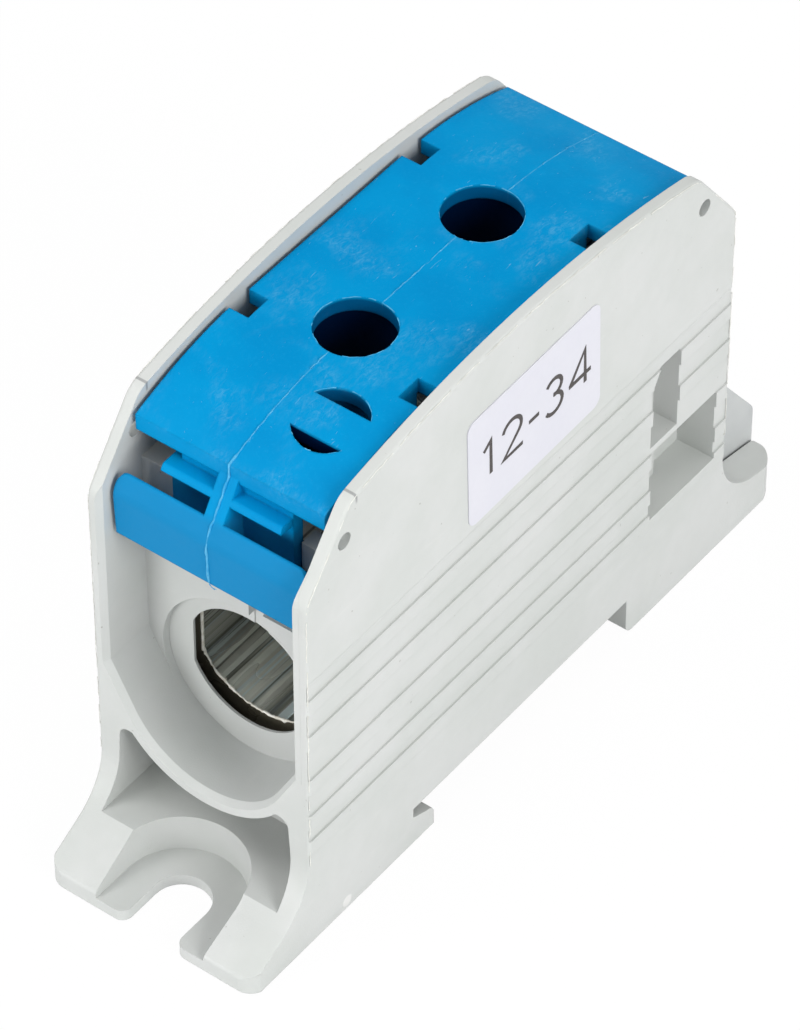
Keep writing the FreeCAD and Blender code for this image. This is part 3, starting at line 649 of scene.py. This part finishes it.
# Flash ridges on both cheeks' outer corners; their tone, paler than the housing, is also a painted edge
# highlight
torn_line(
    "flash_and_highlight_cheek_right", cheek_rim(1, 0.10),
    radius_mm=0.048, wobble_mm=0.04, seed=11, keep=broken(0.07),
    material=flash_and_highlight_tone("flash_and_highlight_cheek", srgb(218, 218, 212), srgb(200, 200, 193)),
    body="housing_body",
)
torn_line(
    "flash_and_highlight_cheek_left", cheek_rim(-1, 0.10),
    radius_mm=0.045, wobble_mm=0.03, seed=12, keep=broken(0.10),
    material=flash_and_highlight_tone("flash_and_highlight_cheek_far", srgb(226, 226, 222), srgb(200, 200, 194)),
    body="housing_body",
)


# Pale blue tones of the mould seam and hairs, also used as painted highlight along the hole rims
COVER_FLASH_AND_RIM_HIGHLIGHT = flash_and_highlight_tone("cover_flash_and_rim_highlight_tone", srgb(76, 163, 202), srgb(28, 142, 193))


def cover_z(y):
    """Height of the cover's upper face at y: flat in the middle, bent towards the ends."""
    beyond = max(abs(y) - COVER_FLAT_MM, 0.0)
    return COVER_TOP_MM - COVER_BEND_MM + math.sqrt(COVER_BEND_MM ** 2 - beyond ** 2)


def cover_seam():
    """Points of the mould line on the middle plane: up the front panel, the web and over the plate."""
    step_y, thin = 0.5, 0.55
    crown = []
    for i in range(1, 119):
        y = -COVER_END_MM + i * step_y
        crown.append((y, cover_z(y), 0))
    front = [(-33.17, 41.6, 0), (-33.38, 46.3, 0), (-33.0, 47.75, 0), (-29.65, 53.0, 0)]
    front.append((-29.62, crown[0][1] - 0.2, 0))
    path = rounded_path(front + crown, 2.0)
    return [(0.0, p.x, p.y, 1.0 if p.x < 1 - COVER_END_MM else thin) for p in path]


def on_cover(point, chance):
    """Test for torn_line that keeps off the two access holes and breaks the line on the plate."""
    reach = ACCESS_RADIUS_MM + 0.05
    plate_z, whole_until_y, gap_share = 57, -20, 0.25
    y, z = point[1], point[2]
    in_hole = z > plate_z and abs(abs(y) - SCREW_Y_MM) < reach
    worn = 0.0 if y < whole_until_y else gap_share
    return not in_hole and chance.random() >= worn


torn_line(
    "cover_flash", cover_seam(), radius_mm=0.115, wobble_mm=0.05, seed=5, keep=on_cover,
    material=COVER_FLASH_AND_RIM_HIGHLIGHT, body="cover_body",
)
HAIR_KINKS = (
    ((0.2, 41.5), (0.5, 41.2), (1.0, 41.3)),
    ((0.1, 41.6), (0.3, 41.2), (0.7, 40.9)),
)
for strand, kinks in enumerate(HAIR_KINKS):
    hair = [(x, 0.1 * strand - 33.3, z, 1.0) for x, z in kinks]
    torn_line(
        "cover_hair_" + str(strand), hair,
        radius_mm=0.045, wobble_mm=0.05, seed=31 + strand, keep=unbroken,
        material=COVER_FLASH_AND_RIM_HIGHLIGHT, body="cover_body",
    )


def hole_rim(axis_x, axis_y, radius, start_deg, end_deg):
    """Points along part of a hole's edge on the cover's crown."""
    step_deg, sunk = 5, 0.02
    steps = int((end_deg - start_deg) / step_deg)
    arc = arc_points((axis_x, axis_y), radius, start_deg, end_deg, steps)
    return [(x, y, cover_z(y) - sunk, 1.0) for x, y in arc]


# Arcs of hole edges that get a pale tube, a painted rim highlight: axis x, axis y, radius, start and
# end angle
RIM_HIGHLIGHT_ARCS = (
    (0.0, -SCREW_Y_MM, ACCESS_RADIUS_MM, -70, 250),
    (0.0, SCREW_Y_MM, ACCESS_RADIUS_MM, -100, 230),
    (TEST_X_MM, TEST_Y_MM, TEST_RADIUS_MM, 28, 152),
    (TEST_X_MM, TEST_Y_MM, TEST_RADIUS_MM, 217, 323),
)
for rank, rim in enumerate(RIM_HIGHLIGHT_ARCS):
    torn_line(
        "hole_rim_highlight_" + str(rank), hole_rim(*rim),
        radius_mm=0.05, wobble_mm=0.03, seed=41 + rank, keep=broken(0.18),
        material=COVER_FLASH_AND_RIM_HIGHLIGHT, body="cover_body",
    )


def add_housing_bar(name, bar):
    """Turns a bmesh into a piece of the housing's plastic."""
    mesh = bpy.data.meshes.new(name)
    bar.to_mesh(mesh)
    bar.free()
    plastic = nodes["housing"].data.materials[0]
    return add_piece(name, mesh, plastic, "housing_body")


def window_lip(side):
    """Thin bar in a side window's upper inner corner, where the wall to the rear trough runs out."""
    low = Vector((11.22, 27.9, 23.1)) * MM
    high = Vector((11.7, 32.9, 23.6)) * MM
    bar = bmesh.new()
    bmesh.ops.create_cube(bar, size=1.0)
    for vert in bar.verts:
        share = vert.co + Vector((0.5, 0.5, 0.5))
        vert.co = Vector([low[i] + (high[i] - low[i]) * share[i] for i in range(3)])
        vert.co.x *= side
    if side < 0:
        bmesh.ops.reverse_faces(bar, faces=bar.faces)
    name = "window_lip_right" if side > 0 else "window_lip_left"
    return add_housing_bar(name, bar)


window_lip(1)
window_lip(-1)


def rim_fill():
    """Bar on the right cheek's front edge, which gives the rim its full thickness beside the funnel."""
    inner, wall = 11.58, 11.86
    depth_outside, depth_inside = 1.0, 1.8
    # Height, front face, inner edge and outer edge of the bar, from below to above
    levels = (
        (22.8, -35.01, inner, 12.34),
        (46.3, -35.01, inner, 12.34),
        (46.92, -34.94, inner, 12.29),
        (47.57, -34.73, inner + 0.03, 12.14),
        (48.1, -34.41, inner + 0.08, 11.95),
        (50.0, -32.97, wall - 0.02, 12.0),
    )
    bar = bmesh.new()
    rings = []
    for z, front, low, high in levels:
        back = ((high, front + depth_outside), (wall, front + depth_inside))
        places = ((low, front), (high, front)) + back
        rings.append([bar.verts.new(Vector((x, y, z)) * MM) for x, y in places])
    for lower, upper in zip(rings, rings[1:]):
        for i in range(4):
            j = (i + 1) % 4
            bar.faces.new((lower[i], lower[j], upper[j], upper[i]))
    bar.faces.new(rings[0])
    bar.faces.new(rings[-1])
    bmesh.ops.recalc_face_normals(bar, faces=bar.faces)
    return add_housing_bar("rim_fill_right", bar)


rim_fill()


def passage_burr(sign):
    """Points around the mouth of the cable passage, on the block's end face."""
    radius, low_z, high_z, flat = 8.45, 17.3, 33.6, 7.3
    rise, proud = 8.4, 0.02
    start = math.degrees(math.asin(flat / radius))
    lower = arc_points((0, low_z + rise), radius, -90 - start, -90 + start, 60)
    upper = arc_points((0, high_z - rise), radius, 90 - start, 90 + start, 40)
    ring = lower + upper + [lower[0]]
    return [(x, sign * (BLOCK_END_MM + proud), z, 1.0) for x, z in ring]


# Burr ridges round the passage mouths; their near-white plastic tone is a painted glint on the tinned
# edge
for side, burr_glint_name in ((-1, "passage_burr_glint_front"), (1, "passage_burr_glint_rear")):
    torn_line(
        burr_glint_name, passage_burr(side),
        radius_mm=0.17, wobble_mm=0.07, seed=21 + side, keep=unbroken,
        material=flash_and_highlight_tone(burr_glint_name + "_tone", srgb(255, 253, 244), srgb(226, 222, 208)),
        body="housing_body",
    )


def round_spring():
    """Round-wire coil in the latch channel, in place of the six-sided one."""
    low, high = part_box("latch_spring")
    wire = 0.25 * MM
    radius = (high.x - low.x) / 2 - wire
    axis_z = (low.z + high.z) / 2
    turns, steps_per_turn = 7, 24
    steps = steps_per_turn * turns
    curve = bpy.data.curves.new("latch_spring_wire", "CURVE")
    curve.dimensions = "3D"
    curve.bevel_depth = wire
    curve.bevel_resolution = 3
    spline = curve.splines.new("POLY")
    spline.points.add(steps)
    for i, point in enumerate(spline.points):
        share = i / steps
        angle = 2 * math.pi * turns * share
        y = low.y + wire + (high.y - low.y - 2 * wire) * share
        point.co = (radius * math.cos(angle), y, axis_z + radius * math.sin(angle), 1.0)
    mesh = tube_mesh("latch_spring_coil", curve)
    obj = add_piece("latch_spring_coil", mesh, spring_steel(), "housing_body")
    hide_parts("latch_spring")
    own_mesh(obj)
    return obj


round_spring()


def area_light(name, place_mm, aim_mm, size_mm, power):
    """Square soft light at place_mm, turned to aim_mm."""
    data = bpy.data.lights.new(name, "AREA")
    data.shape = "SQUARE"
    data.size = size_mm * MM
    data.energy = power
    obj = bpy.data.objects.new(name, data)
    bpy.context.scene.collection.objects.link(obj)
    place = Vector(place_mm) * MM
    obj.location = place
    obj.rotation_mode = "QUATERNION"
    obj.rotation_quaternion = (Vector(aim_mm) * MM - place).to_track_quat("-Z", "Y")
    return obj


def world_light(strength):
    """White surroundings: full white where seen directly or mirrored, at strength where they light."""
    world = bpy.data.worlds.new("studio")
    bpy.context.scene.world = world
    world.use_nodes = True
    tree = world.node_tree
    background = tree.nodes["Background"]
    background.inputs["Color"].default_value = (1.0, 1.0, 1.0, 1.0)
    path = tree.nodes.new("ShaderNodeLightPath")
    seen = path.outputs["Is Camera Ray"]
    for ray in ("Is Transmission Ray", "Is Glossy Ray"):
        either = tree.nodes.new("ShaderNodeMath")
        either.operation = "MAXIMUM"
        tree.links.new(seen, either.inputs[0])
        tree.links.new(path.outputs[ray], either.inputs[1])
        seen = either.outputs[0]
    level = tree.nodes.new("ShaderNodeMapRange")
    tree.links.new(seen, level.inputs["Value"])
    level.inputs["To Min"].default_value = strength
    level.inputs["To Max"].default_value = 1.0
    tree.links.new(level.outputs["Result"], background.inputs["Strength"])


def floor():
    """Plain pale floor that shows white to the camera and keeps the contact shadow."""
    half = 3.0
    level = -0.03 * MM
    white_share = 0.97
    mesh = bpy.data.meshes.new("floor")
    corners = [(-half, -half, level), (half, -half, level), (half, half, level), (-half, half, level)]
    mesh.from_pydata(corners, [], [(0, 1, 2, 3)])
    obj = bpy.data.objects.new("floor", mesh)
    bpy.context.scene.collection.objects.link(obj)
    material = bpy.data.materials.new("floor_paper")
    material.use_nodes = True
    tree = material.node_tree
    surface = tree.nodes["Principled BSDF"]
    surface.inputs["Base Color"].default_value = (0.86, 0.86, 0.87, 1.0)
    surface.inputs["Roughness"].default_value = 0.9
    glow = tree.nodes.new("ShaderNodeEmission")
    glow.inputs["Strength"].default_value = 1.0
    path = tree.nodes.new("ShaderNodeLightPath")
    share = tree.nodes.new("ShaderNodeMath")
    share.operation = "MULTIPLY"
    tree.links.new(path.outputs["Is Camera Ray"], share.inputs[0])
    share.inputs[1].default_value = white_share
    blend = tree.nodes.new("ShaderNodeMixShader")
    tree.links.new(share.outputs[0], blend.inputs[0])
    tree.links.new(surface.outputs[0], blend.inputs[1])
    tree.links.new(glow.outputs[0], blend.inputs[2])
    output = tree.nodes["Material Output"]
    tree.links.new(blend.outputs[0], output.inputs["Surface"])
    mesh.materials.append(material)
    obj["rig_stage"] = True


def camera():
    """Long-lens camera at the photograph's angle, fitted to edges of the object."""
    azimuth = math.radians(37.379)
    elevation = math.radians(45.020)
    roll = math.radians(-0.103)
    focal_px = 6115.3
    distance_mm = 629.7
    shift_right_mm = -1.96
    shift_up_mm = 17.08
    sensor_mm = 36.0
    flat = math.cos(elevation)
    back = Vector((math.sin(azimuth) * flat, -math.cos(azimuth) * flat, math.sin(elevation)))
    level = Vector((math.cos(azimuth), math.sin(azimuth), 0))
    rise = back.cross(level)
    right = math.cos(roll) * level + math.sin(roll) * rise
    up = -math.sin(roll) * level + math.cos(roll) * rise
    data = bpy.data.cameras.new("camera")
    data.sensor_fit = "AUTO"
    data.sensor_width = sensor_mm
    data.lens = focal_px / IMAGE_HEIGHT_PX * sensor_mm
    data.clip_start = 0.01
    data.clip_end = 20.0
    obj = bpy.data.objects.new("camera", data)
    bpy.context.scene.collection.objects.link(obj)
    place = (back * distance_mm + right * shift_right_mm + up * shift_up_mm) * MM
    turn = Matrix((right, up, back)).transposed().to_4x4()
    obj.matrix_world = Matrix.Translation(place) @ turn
    bpy.context.scene.camera = obj


world_light(0.38)
floor()
area_light("key", (-320, -240, 680), aim_mm=(0, 0, 30), size_mm=380, power=2.0)
area_light("fill", (620, -140, 340), aim_mm=(0, 0, 25), size_mm=380, power=3.75)
area_light("front", (-180, -640, 130), aim_mm=(0, 0, 30), size_mm=300, power=2.1)
area_light("top", (60, 160, 700), aim_mm=(0, 0, 30), size_mm=380, power=1.4)
camera()
bpy.context.scene.view_settings.view_transform = "Standard"

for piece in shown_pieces():
    if piece.type == "MESH" and "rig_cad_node" in piece:
        smooth_by_angle(piece, SMOOTH_BELOW_DEG)
